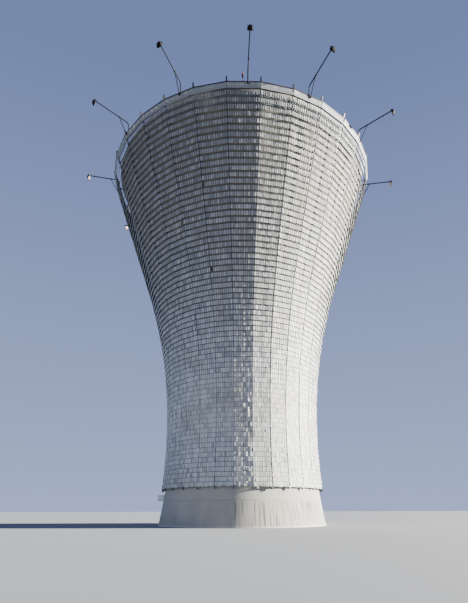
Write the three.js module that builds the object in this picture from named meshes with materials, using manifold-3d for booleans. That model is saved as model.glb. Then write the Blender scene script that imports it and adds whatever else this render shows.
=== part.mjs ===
// Flared water tower: a round concrete tower inside a faceted screen of hanging metal
// plates, carried by steel ribs and rails, with a ring of floodlights on long arms.
// Millimetres, +Z up, origin on the ground at the tower's axis. The front facet faces -Y.
// Every sub-part is made with +X pointing outwards and then turned to its azimuth, which
// is counted in degrees from the front towards +X.

import * as THREE from 'three';
import { mergeVertices } from 'three/addons/utils/BufferGeometryUtils.js';
import Module from 'manifold-3d';

const wasm = await Module();
wasm.setup();

// Screen outline: an arc round the waist, and above it a straight flare up to the rim
const FACETS = 30;
const WAIST_RADIUS = 7740;
const WAIST_HEIGHT = 11100;
const CURVE_RADIUS = 47250;
const FLARE_SLOPE = 0.306;
const CURVE_STEPS = 7;
const SCREEN_FOOT = 3650;
const RIM_HEIGHT = 35000;
const ROWS = 71;
const SCREEN_DEPTH = 60;
const FACETS_PER_PANEL = 3;

// Steel ribs at the corners of the facets, and rails between them
const RIB_WIDTH = 90;
const RIB_DEPTH = 250;
const RIB_HEAD = 350;
const RIB_FOOT = 450;
const RAIL_HEIGHT = 70;
const RAIL_DEPTH = 80;
const TOP_RAIL_HEIGHT = 80;
const TOP_RAIL_DEPTH = 160;
const RAIL_SETBACK = 6;
const RAIL_ROWS = [14, 28, 42, 56];
const BRACKET_ROWS = [3, 28, 53];
const BRACKET_HEIGHT = 100;
const BRACKET_WIDTH = 60;
const FOOT_BRACKET_HEIGHT = 3300;

// Concrete tower inside the screen, and its base below it
const FOOT_INSET = 380;
const RIM_INSET = 600;
const WALL_SECTORS = 4;
const BASE_THICKNESS = 400;
const WALL_THICKNESS = 300;
const SLAB_THICKNESS = 300;
const BASE_TOP = 4600;
const TANK_FLOOR_HEIGHT = 21000;
const TANK_FLOOR_THICKNESS = 400;
const WALL_TOP = 34600;
const ROOF_EDGE = 150;
const ROOF_RISE = 350;

// Canopy block on the left side of the base
const CANOPY_AZIMUTH = -84;
const CANOPY_BOTTOM = 2530;
const CANOPY_TOP = 3140;
const CANOPY_REACH = 510;
const CANOPY_WIDTH = 1600;

// Floodlight arms: azimuths of the seven on the front half, then the five behind
const ARM_AZIMUTHS = [-87.1, -52.6, -23.4, 1.5, 24.9, 55.4, 88.8, 120.5, 152.5, 180, 207.5, 241.3];
const ARM_RADIUS = 50;
const TUBE_SIDES = 6;
const ARM_FOOT_HEIGHT = 34860;
const ARM_BEND = { low: 35650, high: 35860, out: 90 };
const ARM_SHOULDER = { out: 330, height: 35960 };
const ARM_TIP = { radius: 15680, height: 36260 };
const BRACE_RADIUS = 30;
const BRACE_TOP_RADIUS = 13580;
const BRACE_FOOT_HEIGHT = 34600;
const CLAMP = { depth: 120, width: 160 };
const PAD = { height: 160, width: 160, depth: 60 };
const BRACE_STANDOFF = 40;
const LAMP = { width: 440, height: 420, depth: 230, tilt: 25 };
const LAMP_CENTRE = { radius: 15850, height: 36100 };

// Red obstruction light on a thin post on the top rail
const BEACON_AZIMUTH = -0.3;
const BEACON_POST_RADIUS = 20;
const BEACON_FLANGE_RADIUS = 60;
const BEACON_FLANGE_HEIGHT = 20;
const BEACON_POST_TOP = 35370;
const BEACON_BODY_RADIUS = 75;
const BEACON_BODY_TOP = 35560;
const BEACON_DOME_TOP = 35730;
const BEACON_DOME_RADIUS = 70;
const BEACON_SHOULDERS = [{ radius: 70, share: 0.45 }, { radius: 56, share: 0.8 }];
const BEACON_SIDES = 12;

// Clearance between touching pieces
const GAP = 0.3;
const JOIN_TOLERANCE = 0.05;

const facetAngle = 2 * Math.PI / FACETS;
const halfFacet = facetAngle / 2;
const jointTrim = GAP / 2 / (WAIST_RADIUS - FOOT_INSET - BASE_THICKNESS);
const cornerScale = 1 / Math.cos(halfFacet);
const rowHeight = (RIM_HEIGHT - SCREEN_FOOT) / ROWS;
const curveTop = WAIST_HEIGHT + CURVE_RADIUS * Math.sin(Math.atan(FLARE_SLOPE));

// Colours, roughness and metalness of the finishes
const concrete = new THREE.MeshStandardMaterial({ color: 0xb9b9b2, roughness: 0.9, metalness: 0 });
const plates = new THREE.MeshStandardMaterial({ color: 0xb4b8bb, roughness: 0.4, metalness: 0.9 });
const steel = new THREE.MeshStandardMaterial({ color: 0x8a8f93, roughness: 0.5, metalness: 0.8 });
const darkPaint = new THREE.MeshStandardMaterial({ color: 0x33383d, roughness: 0.5, metalness: 0.6 });
const redLens = new THREE.MeshStandardMaterial({ color: 0x9a2a1c, roughness: 0.2, metalness: 0 });

const tower = new THREE.Group();

// Distance from the axis to the middle of a facet, on the true curve
function curveRadius(z) {
  const arcZ = Math.min(z, curveTop) - WAIST_HEIGHT;
  const arc = WAIST_RADIUS + CURVE_RADIUS - Math.sqrt(CURVE_RADIUS ** 2 - arcZ ** 2);
  return arc + FLARE_SLOPE * Math.max(0, z - curveTop);
}

// Heights where the straight lengths of rib, screen and wall meet
const levels = [0];
for (let step = 0; step <= CURVE_STEPS; step += 1) {
  levels.push(SCREEN_FOOT + (curveTop - SCREEN_FOOT) * step / CURVE_STEPS);
}
levels.push(RIM_HEIGHT + RIB_HEAD);

// The same distance on the straight lengths between those heights
function screenRadius(z) {
  let index = 1;
  while (index < levels.length - 1 && z > levels[index]) {
    index += 1;
  }
  const [low, high] = [levels[index - 1], levels[index]];
  const share = (z - low) / (high - low);
  return curveRadius(low) * (1 - share) + curveRadius(high) * share;
}

// The concrete leans away from the screen as it rises
function bodyRadius(z) {
  return screenRadius(z) - FOOT_INSET - (RIM_INSET - FOOT_INSET) * z / RIM_HEIGHT;
}

// The outer face of a rib: just clear of the screen's inner corner
function ribRadius(z) {
  const corner = (screenRadius(z) - SCREEN_DEPTH) * cornerScale;
  return corner - RIB_WIDTH / 2 * Math.tan(halfFacet) - GAP;
}

function rowLevel(row) {
  return RIM_HEIGHT - row * rowHeight;
}

function heightsBetween(low, high) {
  return [low, ...levels.filter((z) => z > low && z < high), high];
}

// A closed outline, counter-clockwise, between two radius functions of the height
function band(outer, inner, low, high) {
  const heights = heightsBetween(low, high);
  const outside = heights.map((z) => [outer(z), z]);
  const inside = heights.map((z) => [inner(z), z]).reverse();
  return [...outside, ...inside];
}

function positionsToGeometry(positions, faces) {
  const geometry = new THREE.BufferGeometry();
  geometry.setAttribute('position', new THREE.Float32BufferAttribute(positions, 3));
  geometry.setIndex(faces);
  return geometry;
}

// An outline of [radius, height] points carried round the axis through the given angles,
// with its radii times the scale that belongs to each angle
function sweep(outline, angles, scale = () => 1) {
  const positions = [];
  for (const angle of angles) {
    const x = Math.cos(angle) * scale(angle);
    const y = Math.sin(angle) * scale(angle);
    for (const [radius, z] of outline) {
      positions.push(radius * x, radius * y, z);
    }
  }
  const count = outline.length;
  const last = (angles.length - 1) * count;
  const faces = [];
  for (let ring = 0; ring < angles.length - 1; ring += 1) {
    for (let point = 0; point < count; point += 1) {
      const a = ring * count + point;
      const b = ring * count + (point + 1) % count;
      faces.push(a, a + count, b + count, a, b + count, b);
    }
  }
  const contour = outline.map(([radius, z]) => new THREE.Vector2(radius, z));
  for (const [a, b, c] of THREE.ShapeUtils.triangulateShape(contour, [])) {
    faces.push(a, b, c);
    faces.push(last + a, last + c, last + b);
  }
  return positionsToGeometry(positions, faces);
}

// Angles of a polygon's corners across a sector, with a joint gap at both ends
function sectorAngles(from, to) {
  const steps = Math.round((to - from) / facetAngle);
  const angles = [];
  for (let step = 0; step <= steps; step += 1) {
    angles.push(from + (to - from) * step / steps);
  }
  angles[0] += jointTrim;
  angles[steps] -= jointTrim;
  return angles;
}

// Angles of a wall sector: its two joints, and the corners of the facets between them
function wallAngles(from, to) {
  const first = halfFacet + facetAngle * Math.ceil((from - halfFacet) / facetAngle);
  const angles = [from + jointTrim];
  for (let corner = first; corner < to; corner += facetAngle) {
    angles.push(corner);
  }
  angles.push(to - jointTrim);
  return angles;
}

// How far out a facet lies at an angle, as a share of the distance to its corners
function facetShare(angle) {
  const middle = facetAngle * Math.round(angle / facetAngle);
  return Math.cos(halfFacet) / Math.cos(angle - middle);
}

// An upright outline of [radius, height] points, given a width along the tangent
function bar(outline, width, centre = 0) {
  const shape = new THREE.Shape(outline.map(([radius, z]) => new THREE.Vector2(radius, z)));
  const geometry = new THREE.ExtrudeGeometry(shape, { depth: width, bevelEnabled: false });
  geometry.rotateX(Math.PI / 2);
  geometry.translate(0, centre + width / 2, 0);
  return geometry;
}

// A straight or bent tube through points of an upright plane, mitred at the bends
function tube(points, radius) {
  const positions = [];
  points.forEach(([x, z], index) => {
    const before = points[Math.max(index - 1, 0)];
    const after = points[Math.min(index + 1, points.length - 1)];
    const inward = new THREE.Vector2(x - before[0], z - before[1]).normalize();
    const outward = new THREE.Vector2(after[0] - x, after[1] - z).normalize();
    const along = inward.clone().add(outward).normalize();
    const stretch = 1 / Math.max(along.dot(inward), along.dot(outward));
    for (let side = 0; side < TUBE_SIDES; side += 1) {
      const angle = 2 * Math.PI * (side + 0.5) / TUBE_SIDES;
      const across = radius * Math.cos(angle) * stretch;
      positions.push(x - along.y * across, radius * Math.sin(angle), z + along.x * across);
    }
  });
  const faces = [];
  for (let ring = 0; ring < points.length - 1; ring += 1) {
    for (let side = 0; side < TUBE_SIDES; side += 1) {
      const a = ring * TUBE_SIDES + side;
      const b = ring * TUBE_SIDES + (side + 1) % TUBE_SIDES;
      faces.push(a, a + TUBE_SIDES, b + TUBE_SIDES, a, b + TUBE_SIDES, b);
    }
  }
  const last = (points.length - 1) * TUBE_SIDES;
  for (let side = 1; side < TUBE_SIDES - 1; side += 1) {
    faces.push(0, side, side + 1);
    faces.push(last, last + side + 1, last + side);
  }
  return positionsToGeometry(positions, faces);
}

function toSolid(geometry) {
  const plain = geometry.clone();
  plain.deleteAttribute('normal');
  plain.deleteAttribute('uv');
  const merged = mergeVertices(plain, 1e-3);
  const vertProperties = new Float32Array(merged.attributes.position.array);
  const triVerts = new Uint32Array(merged.index.array);
  return new wasm.Manifold(new wasm.Mesh({ numProp: 3, vertProperties, triVerts }));
}

function join(geometries) {
  return geometries.map(toSolid).reduce((sum, solid) => sum.add(solid));
}

// The mesh of a cut or joined solid, without the needless corners that a join leaves
function toGeometry(solid) {
  const mesh = solid.simplify(JOIN_TOLERANCE).getMesh();
  return positionsToGeometry(Array.from(mesh.vertProperties), Array.from(mesh.triVerts));
}

function addPart(name, geometry, material, azimuth = 0) {
  const mesh = new THREE.Mesh(geometry, material);
  mesh.name = name;
  mesh.rotation.z = THREE.MathUtils.degToRad(azimuth) - Math.PI / 2;
  tower.add(mesh);
}

function numbered(name, index) {
  return `${name}_${String(index + 1).padStart(2, '0')}`;
}

// Concrete: base, shaft and tank walls in equal sectors, with their joints on the diagonals
function addWall(name, low, high, thickness) {
  const outline = band(bodyRadius, (z) => bodyRadius(z) - thickness, low, high);
  const width = 2 * Math.PI / WALL_SECTORS;
  for (let index = 0; index < WALL_SECTORS; index += 1) {
    const from = width * (index - 0.5);
    const sector = sweep(outline, wallAngles(from, from + width), facetShare);
    addPart(numbered(name, index), sector, concrete);
  }
}

// A round slab with a sloping edge, its corners over those of the walls
function disc(bottomRadius, topRadius, low, high) {
  const geometry = new THREE.CylinderGeometry(topRadius, bottomRadius, high - low, FACETS, 1);
  geometry.rotateX(Math.PI / 2);
  geometry.rotateZ(halfFacet);
  geometry.translate(0, 0, (low + high) / 2);
  return geometry;
}

function addConcrete() {
  const slabEdge = (z) => bodyRadius(z) - BASE_THICKNESS - GAP * 2;
  const slab = disc(slabEdge(0), slabEdge(SLAB_THICKNESS), 0, SLAB_THICKNESS);
  addPart('floor_slab', slab, concrete, 90);
  addWall('base_wall', 0, BASE_TOP, BASE_THICKNESS);
  addWall('shaft_wall', BASE_TOP + GAP, TANK_FLOOR_HEIGHT, WALL_THICKNESS);
  const floorLow = TANK_FLOOR_HEIGHT + GAP;
  const floorHigh = floorLow + TANK_FLOOR_THICKNESS;
  const floor = disc(bodyRadius(floorLow), bodyRadius(floorHigh), floorLow, floorHigh);
  addPart('tank_floor', floor, concrete, 90);
  addWall('tank_wall', floorHigh + GAP, WALL_TOP, WALL_THICKNESS);
  const roofLow = WALL_TOP + GAP;
  const roofRadius = bodyRadius(roofLow);
  const roofOutline = [
    [0, roofLow],
    [roofRadius, roofLow],
    [roofRadius, roofLow + ROOF_EDGE],
    [0, roofLow + ROOF_RISE],
  ].map(([radius, z]) => new THREE.Vector2(radius, z));
  const roof = new THREE.LatheGeometry(roofOutline, FACETS);
  roof.rotateX(Math.PI / 2);
  roof.rotateZ(halfFacet);
  addPart('tank_roof', roof, concrete, 90);
}

// The canopy block is cut to sit against the sloping round wall of the base
function addCanopy() {
  const outer = bodyRadius(CANOPY_BOTTOM) + CANOPY_REACH;
  const inner = bodyRadius(CANOPY_TOP) - BASE_THICKNESS;
  const block = bar([
    [outer, CANOPY_BOTTOM],
    [outer, CANOPY_TOP],
    [inner, CANOPY_TOP],
    [inner, CANOPY_BOTTOM],
  ], CANOPY_WIDTH);
  const wallOutline = band((z) => bodyRadius(z) + GAP, () => inner / 2, 0, SCREEN_FOOT);
  const wall = sweep(wallOutline, sectorAngles(-halfFacet, halfFacet));
  const solid = toSolid(block).subtract(toSolid(wall));
  addPart('side_canopy', toGeometry(solid), concrete, CANOPY_AZIMUTH);
}

// Angles of the facet corners across one panel, centred on the panel
function panelAngles() {
  const half = FACETS_PER_PANEL * halfFacet;
  return sectorAngles(-half, half);
}

// An outline drawn at the middle of a facet, moved out to the facet's corners
function atCorners(outline) {
  return outline.map(([radius, z]) => [radius * cornerScale, z]);
}

function screenPanel() {
  const top = RIM_HEIGHT - TOP_RAIL_HEIGHT - GAP;
  const outline = band(screenRadius, (z) => screenRadius(z) - SCREEN_DEPTH, SCREEN_FOOT, top);
  return sweep(atCorners(outline), panelAngles());
}

function rib(extra = 0) {
  const outer = (z) => ribRadius(z) + extra;
  const inner = (z) => ribRadius(z) - RIB_DEPTH - extra;
  const low = SCREEN_FOOT - RIB_FOOT - extra;
  const high = Math.min(RIM_HEIGHT + RIB_HEAD + extra, levels[levels.length - 1]);
  return bar(band(outer, inner, low, high), RIB_WIDTH + 2 * extra);
}

// A rail of square section from the first corner of a panel to its last
function squareRail(outer, inner, low, high) {
  const outline = [[outer, low], [outer, high], [inner, high], [inner, low]];
  return sweep(atCorners(outline), panelAngles());
}

function rail(z) {
  const [low, high] = [z - RAIL_HEIGHT / 2, z + RAIL_HEIGHT / 2];
  const screenBack = Math.min(screenRadius(low), screenRadius(high)) - SCREEN_DEPTH;
  const outer = screenBack - RAIL_SETBACK;
  return squareRail(outer, outer - RAIL_DEPTH, low, high);
}

function topRail() {
  const outer = screenRadius(RIM_HEIGHT);
  return squareRail(outer, outer - TOP_RAIL_DEPTH, RIM_HEIGHT - TOP_RAIL_HEIGHT, RIM_HEIGHT);
}

// A bracket from the back of a rib to the concrete behind it
function bracket(z) {
  const outer = (height) => ribRadius(height) - RIB_DEPTH / 2;
  const inner = (height) => bodyRadius(height) + GAP;
  return bar(band(outer, inner, z - BRACKET_HEIGHT / 2, z + BRACKET_HEIGHT / 2), BRACKET_WIDTH);
}

// Three ribs with the rails that run from them to the next frame's first rib
function ribFrame() {
  const footRail = SCREEN_FOOT + RAIL_HEIGHT / 2;
  const solids = [toSolid(rail(footRail)), toSolid(topRail())];
  for (const row of RAIL_ROWS) {
    solids.push(toSolid(rail(rowLevel(row))));
  }
  const first = -FACETS_PER_PANEL * halfFacet;
  const bracketLevels = [FOOT_BRACKET_HEIGHT, ...BRACKET_ROWS.map(rowLevel)];
  for (let index = 0; index < FACETS_PER_PANEL; index += 1) {
    const angle = first + index * facetAngle;
    solids.push(toSolid(rib().rotateZ(angle)));
    for (const z of bracketLevels) {
      solids.push(toSolid(bracket(z).rotateZ(angle)));
    }
  }
  const nextRib = toSolid(rib(GAP).rotateZ(-first));
  const lattice = solids.reduce((sum, solid) => sum.add(solid));
  return toGeometry(lattice.subtract(nextRib));
}

function addScreen() {
  const panel = screenPanel();
  const frame = ribFrame();
  const panels = FACETS / FACETS_PER_PANEL;
  for (let index = 0; index < panels; index += 1) {
    const azimuth = 360 / panels * index;
    addPart(numbered('screen_panel', index), panel, plates, azimuth);
    addPart(numbered('rib_frame', index), frame, steel, azimuth);
  }
}

// The angle from the middle of the nearest facet to an azimuth, in radians
function facetOffset(azimuth) {
  const facet = 360 / FACETS;
  return THREE.MathUtils.degToRad(azimuth - facet * Math.round(azimuth / facet));
}

// One arm: clamp behind the top rail, bent tube, brace with its pad, and the lamp
function floodlightArm(azimuth) {
  const offset = facetOffset(azimuth);
  const railInner = screenRadius(RIM_HEIGHT) - TOP_RAIL_DEPTH - GAP;
  const clampCentre = railInner - CLAMP.depth / 2;
  const clamp = bar([
    [railInner, RIM_HEIGHT - TOP_RAIL_HEIGHT],
    [railInner, RIM_HEIGHT],
    [railInner - CLAMP.depth, RIM_HEIGHT],
    [railInner - CLAMP.depth, RIM_HEIGHT - TOP_RAIL_HEIGHT],
  ], CLAMP.width, clampCentre * Math.tan(offset)).rotateZ(-offset);

  const foot = clampCentre / Math.cos(offset);
  const shoulder = [foot + ARM_SHOULDER.out, ARM_SHOULDER.height];
  const tip = [ARM_TIP.radius, ARM_TIP.height];
  const slope = (tip[1] - shoulder[1]) / (tip[0] - shoulder[0]);
  const arm = tube([
    [foot, ARM_FOOT_HEIGHT],
    [foot, ARM_BEND.low],
    [foot + ARM_BEND.out, ARM_BEND.high],
    shoulder,
    tip,
  ], ARM_RADIUS);
  const brace = tube([
    [(screenRadius(BRACE_FOOT_HEIGHT) + BRACE_STANDOFF) / Math.cos(offset), BRACE_FOOT_HEIGHT],
    [BRACE_TOP_RADIUS, shoulder[1] + slope * (BRACE_TOP_RADIUS - shoulder[0])],
  ], BRACE_RADIUS);

  const padOutline = band(
    (z) => screenRadius(z) + GAP + PAD.depth,
    (z) => screenRadius(z) + GAP,
    BRACE_FOOT_HEIGHT - PAD.height / 2,
    BRACE_FOOT_HEIGHT + PAD.height / 2,
  );
  const padOffset = screenRadius(BRACE_FOOT_HEIGHT) * Math.tan(offset);
  const pad = bar(padOutline, PAD.width, padOffset).rotateZ(-offset);
  const lamp = new THREE.BoxGeometry(LAMP.depth, LAMP.width, LAMP.height);
  lamp.rotateY(THREE.MathUtils.degToRad(-LAMP.tilt));
  lamp.translate(LAMP_CENTRE.radius, 0, LAMP_CENTRE.height);
  return toGeometry(join([arm, brace, clamp, pad, lamp]));
}

function addFloodlights() {
  ARM_AZIMUTHS.forEach((azimuth, index) => {
    addPart(numbered('floodlight_arm', index), floodlightArm(azimuth), darkPaint, azimuth);
  });
}

// The obstruction light's post and body, and the red dome on it
function turned(points) {
  const outline = points.map(([radius, z]) => new THREE.Vector2(radius, z));
  const geometry = new THREE.LatheGeometry(outline, BEACON_SIDES);
  geometry.rotateX(Math.PI / 2);
  geometry.translate(screenRadius(RIM_HEIGHT) - TOP_RAIL_DEPTH / 2, 0, 0);
  return geometry;
}

function addBeacon() {
  const foot = RIM_HEIGHT + GAP;
  const post = turned([
    [0, foot],
    [BEACON_FLANGE_RADIUS, foot],
    [BEACON_FLANGE_RADIUS, foot + BEACON_FLANGE_HEIGHT],
    [BEACON_POST_RADIUS, foot + BEACON_FLANGE_HEIGHT],
    [BEACON_POST_RADIUS, BEACON_POST_TOP],
    [BEACON_BODY_RADIUS, BEACON_POST_TOP],
    [BEACON_BODY_RADIUS, BEACON_BODY_TOP],
    [0, BEACON_BODY_TOP],
  ]);
  const domeFoot = BEACON_BODY_TOP + GAP;
  const domeHeight = BEACON_DOME_TOP - domeFoot;
  const dome = turned([
    [0, domeFoot],
    [BEACON_DOME_RADIUS, domeFoot],
    ...BEACON_SHOULDERS.map(({ radius, share }) => [radius, domeFoot + domeHeight * share]),
    [0, BEACON_DOME_TOP],
  ]);
  addPart('obstruction_light_post', post, darkPaint, BEACON_AZIMUTH);
  addPart('obstruction_light_dome', dome, redLens, BEACON_AZIMUTH);
}

addConcrete();
addCanopy();
addScreen();
addFloodlights();
addBeacon();

export default tower;
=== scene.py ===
"""Flared water tower, dressed: a round concrete tower in a faceted screen of hanging plates.

Metres, +Z up, origin on the ground at the axis. The front facet faces -Y. An azimuth is
counted in degrees from the front towards +X. Every piece is worked out with +X pointing
outwards, +Y along the rim and +Z up, and then turned to its azimuth.
"""

import math

import bpy
import numpy as np
from mathutils import Matrix, Vector


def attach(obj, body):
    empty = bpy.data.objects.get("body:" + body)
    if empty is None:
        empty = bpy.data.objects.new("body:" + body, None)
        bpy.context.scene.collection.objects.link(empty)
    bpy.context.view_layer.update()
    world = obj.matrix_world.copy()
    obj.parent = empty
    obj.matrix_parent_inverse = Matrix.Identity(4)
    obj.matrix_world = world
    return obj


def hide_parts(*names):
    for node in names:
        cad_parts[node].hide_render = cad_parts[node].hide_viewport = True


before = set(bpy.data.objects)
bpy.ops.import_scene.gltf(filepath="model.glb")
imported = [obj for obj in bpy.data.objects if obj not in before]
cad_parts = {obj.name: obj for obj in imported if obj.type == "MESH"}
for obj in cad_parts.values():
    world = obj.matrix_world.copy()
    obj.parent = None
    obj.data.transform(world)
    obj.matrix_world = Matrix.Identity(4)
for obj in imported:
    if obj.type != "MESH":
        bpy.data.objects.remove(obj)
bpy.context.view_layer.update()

# Screen outline, as in the solids: an arc round the waist, then a straight flare
FACETS = 30
FACET_DEG = 360 / FACETS
HALF_FACET = math.radians(FACET_DEG / 2)
PANELS = 10
WAIST_RADIUS = 7.74
WAIST_HEIGHT = 11.1
CURVE_RADIUS = 47.25
FLARE_SLOPE = 0.306
SCREEN_FOOT = 3.65
RIM_HEIGHT = 35.0
ROWS = 71
ROW_HEIGHT = (RIM_HEIGHT - SCREEN_FOOT) / ROWS
TOP_RAIL_HEIGHT = 0.08
TOP_RAIL_DEPTH = 0.16

# Concrete: its inset from the screen, the base wall and the upstand round the roof
FOOT_INSET = 0.38
RIM_INSET = 0.6
BASE_THICKNESS = 0.4
BASE_TOP = 4.6
BASE_SECTORS = 4
BASE_JOINT = 2.46
GROOVE_HALF = 0.02
GROOVE_DEPTH = 0.025
BASE_FOOT_BEVEL = 0.01
UPSTAND_WIDTH = 0.2
UPSTAND_HEIGHT = 0.3

# Hanging plates, and the gaps round them
PLATE_PITCH = 0.195
PLATE_HEIGHT = 0.408
PLATE_THICKNESS = 0.004
PLATE_SETBACK = 0.055
PLATE_DROP = 0.03
RIM_EXTRA_DROP = 0.08
TOP_ROW_DROP = 0.005
WAIST_PLATE_GAP = 0.02
RIM_PLATE_GAP = 0.078
TOP_ROW_PLATE_GAP = 0.01
MIDDLE_GAP = 0.02
CORNER_GAP = 0.014

# Corner joints that stand open: the azimuth, and the gap on each side
OPEN_JOINTS = {18: 0.045, 30: 0.045, 42: 0.075, 54: 0.05}

# How crooked the plates hang: spreads in degrees, and limits in spreads or in degrees.
# The plates of a column share a part of their twist
PLATE_SEED = 1000
SWING_DEG = 1.6
SWING_LIMIT = 2
TWIST_DEG = 2.6
TWIST_LIMIT = 2.2
ROLL_DEG = 1.6
ROLL_LIMIT_DEG = 3
RIM_EXTRA_TURN = 0.5
COLUMN_SHARE = 0.7
COLUMNS = 40

# How pale the plates are, from 0 to 1: pale at the waist, and painted darker towards the rim, which is
# painted shade
WAIST_TONE = 0.75
RIM_SHADED_TONE = 0.14
TONE_SPREAD = 0.22

# Single plates that have come off: a share at random, and those seen, as (azimuth, row)
MISSING_SHARE = 0.0003
MISSING = [
    (-63, 7), (-60, 8), (-53, 28), (-50, 29), (-49, 36), (-43, 4), (-41, 27), (-40, 7), (-40, 14),
    (-39, 8), (-39, 28), (-39, 36), (-29, 7), (-29, 14), (-29, 28), (-22, 35), (-17, 14), (-17, 28),
]

# Plates knocked about near the ground, right of the middle of the front facet
LOOSE_FROM_ROW = 52
LOOSE_TWIST_DEG = 11.0
LOOSE_SWING_DEG = 4.0

# Ribs and rails behind the plates
RIB_WIDTH = 0.1
RIB_DEPTH = 0.14
RIB_FLANGE = 0.01
RIB_FLANGE_EDGE = 0.8 * RIB_FLANGE
RIB_FLANGE_ROOT = 1.3 * RIB_FLANGE
RIB_WEB = 0.008
RIB_SETBACK = 0.085
RIB_HEAD = 0.35
RIB_FOOT = 0.2
RIB_STEPS = 40
FOOT_RAIL_HEIGHT = 0.07
FOOT_RAIL_DEPTH = 0.08
FOOT_RAIL_SETBACK = 0.066
BRACKET_ROWS = np.array([3, 28, 53])
FOOT_BRACKET_LEVEL = 3.85
BRACKET_WIDTH = 0.06
BRACKET_HEIGHT = 0.1
BAR_END_GAP = 0.01

# Row rails, the clips that hold each plate on them, and the strip along the top row's foot
RAIL_HEIGHT = 0.03
RAIL_DEPTH = 0.03
TALL_RAIL_HEIGHT = 0.13
TALL_RAILS = 3
CLIP_WIDTH = 0.03
CLIP_HEIGHT = 0.045
CLIP_DEPTH = 0.01
STRIP_HEIGHT = 0.15
STRIP_THICKNESS = 0.005

# Floodlight arms. Their azimuths and their lamps' places are those of the solids
ARM_AZIMUTHS = [-87.1, -52.6, -23.4, 1.5, 24.9, 55.4, 88.8, 120.5, 152.5, 180, 207.5, 241.3]
ARM_RADIUS = 0.044
ARM_FOOT_HEIGHT = 34.86
ARM_KNEE_HEIGHT = 35.925
ARM_KNEE_ROUNDING = 0.27
ARM_TIP = (15.76, 36.27)
BRACE_RADIUS = 0.037
BRACE_TOP_RADIUS = 13.58
BRACE_FOOT_HEIGHT = 34.86
BRACE_STANDOFF = 0.03
COLLAR_RADIUS = 0.066
COLLAR_LENGTH = 0.1
CLAMP_DEPTH = 0.12
CLAMP_WIDTH = 0.16
CLAMP_GAP = 0.001
CLAMP_BOLTS = (0.04, 0.062)
PAD_SIZE = 0.16
PAD_THICKNESS = 0.014
PAD_BOLTS = (0.055, 0.055)
LUG_DEPTH = 0.055
LUG_HALF_WIDTH = 0.012
LUG_HALF_HEIGHT = 0.05
BOLT_RADIUS = 0.014
BOLT_HEIGHT = 0.012

# Lamps. The fins stand on the back of the housing, and a bent strap holds it at its sides
LAMP_CENTRE = (15.85, 36.1)
LAMP_WIDTH = 0.44
LAMP_HEIGHT = 0.42
LAMP_TILT = math.radians(25)
GLASS_SHARE = 0.86
FINS = 9
FIN_PITCH = 0.028
FIN_HALF_WIDTH = 0.003
FIN_FRONT, FIN_BACK = 0.02, 0.114
FIN_FOOT, FIN_TOP = -0.04, 0.165
FIN_ROUNDING = 0.001
STRAP_REACH = 0.231
STRAP_FOOT, STRAP_TOP = -0.03, 0.226
STRAP_ROUNDING = 0.03
STRAP_WIDTH = 0.04
STRAP_THICKNESS = 0.007

# Red obstruction light on a post on the top rail
BEACON_AZIMUTH = -0.3
BEACON_SEAT = RIM_HEIGHT + 0.0003
BEACON_BOLT_CIRCLE = 0.043
BEACON_BOLT_LEVEL = BEACON_SEAT + 0.018
POST_RADIUS = 0.02
POST_TOP = 35.38
BODY_FOOT = 35.365
DOME_FOOT = 35.5605
DOME_HEIGHT = 0.169
DOME_RADIUS = 0.068
DOME_RIBS = 8
DOME_RIB_SHARE = 0.025

# Floor
FLOOR_HALF = 400.0
FLOOR_LEVEL = -0.002

# Light: a low warm sun from the right, a blue sky, and a soft fill from the front left
SKY_STRENGTH = 1.62
KEY_AZIMUTH = 87.7
KEY_ELEVATION = 16.0
KEY_STRENGTH = 38.0
KEY_ANGLE_DEG = 2.0
FILL_AZIMUTH = -47
FILL_DISTANCE = 34.0
FILL_HEIGHT = 10.5
FILL_AIM_HEIGHT = -3
FILL_SIZE = (8.0, 5.0)
FILL_SPREAD_DEG = 100
FILL_POWER = 540.0

# Camera: at eye height in front of the tower, nearly level, with the picture shifted up
CAMERA_DISTANCE = 48.26
CAMERA_HEIGHT = 1.59
CAMERA_AZIMUTH = -0.96
CAMERA_PITCH = 0.0136
CAMERA_ROLL = -0.0028
FOCAL_PIXELS = 460.07
FRAME_WIDTH, FRAME_HEIGHT = 468, 603
AXIS_X, HORIZON_Y = 242.09, 503.67
SENSOR_SIZE = 36.0


def linear(code):
    """The linear colour of an sRGB hex code, with full alpha."""
    channels = [int(code[i:i + 2], 16) / 255 for i in (1, 3, 5)]
    return [c / 12.92 if c <= 0.04045 else ((c + 0.055) / 1.055) ** 2.4 for c in channels] + [1.0]


def curve_radius(z):
    """Distance from the axis to the middle of a facet: arc below, straight flare above."""
    curve_top = WAIST_HEIGHT + CURVE_RADIUS * math.sin(math.atan(FLARE_SLOPE))
    z = np.asarray(z, float)
    arc_z = np.minimum(z, curve_top) - WAIST_HEIGHT
    arc = WAIST_RADIUS + CURVE_RADIUS - np.sqrt(CURVE_RADIUS ** 2 - arc_z ** 2)
    return arc + FLARE_SLOPE * np.maximum(0, z - curve_top)


def flare_share(z):
    """0 at the waist and below it, 1 at the rim, and in proportion to the height between."""
    return np.clip((z - WAIST_HEIGHT) / (RIM_HEIGHT - WAIST_HEIGHT), 0, 1)


def body_radius(z):
    """Outer radius of the concrete, which leans away from the screen as it rises."""
    return curve_radius(z) - FOOT_INSET - (RIM_INSET - FOOT_INSET) * np.asarray(z) / RIM_HEIGHT


def turn(points, azimuth):
    """Turns points made with +X outwards to an azimuth in degrees."""
    angle = math.radians(azimuth) - math.pi / 2
    c, s = math.cos(angle), math.sin(angle)
    x, y, z = points[..., 0], points[..., 1], points[..., 2]
    return np.stack([x * c - y * s, x * s + y * c, z], axis=-1)


def top_rail_middle():
    """Distance from the axis to the middle of the top rail."""
    return float(curve_radius(RIM_HEIGHT)) - TOP_RAIL_DEPTH / 2


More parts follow.
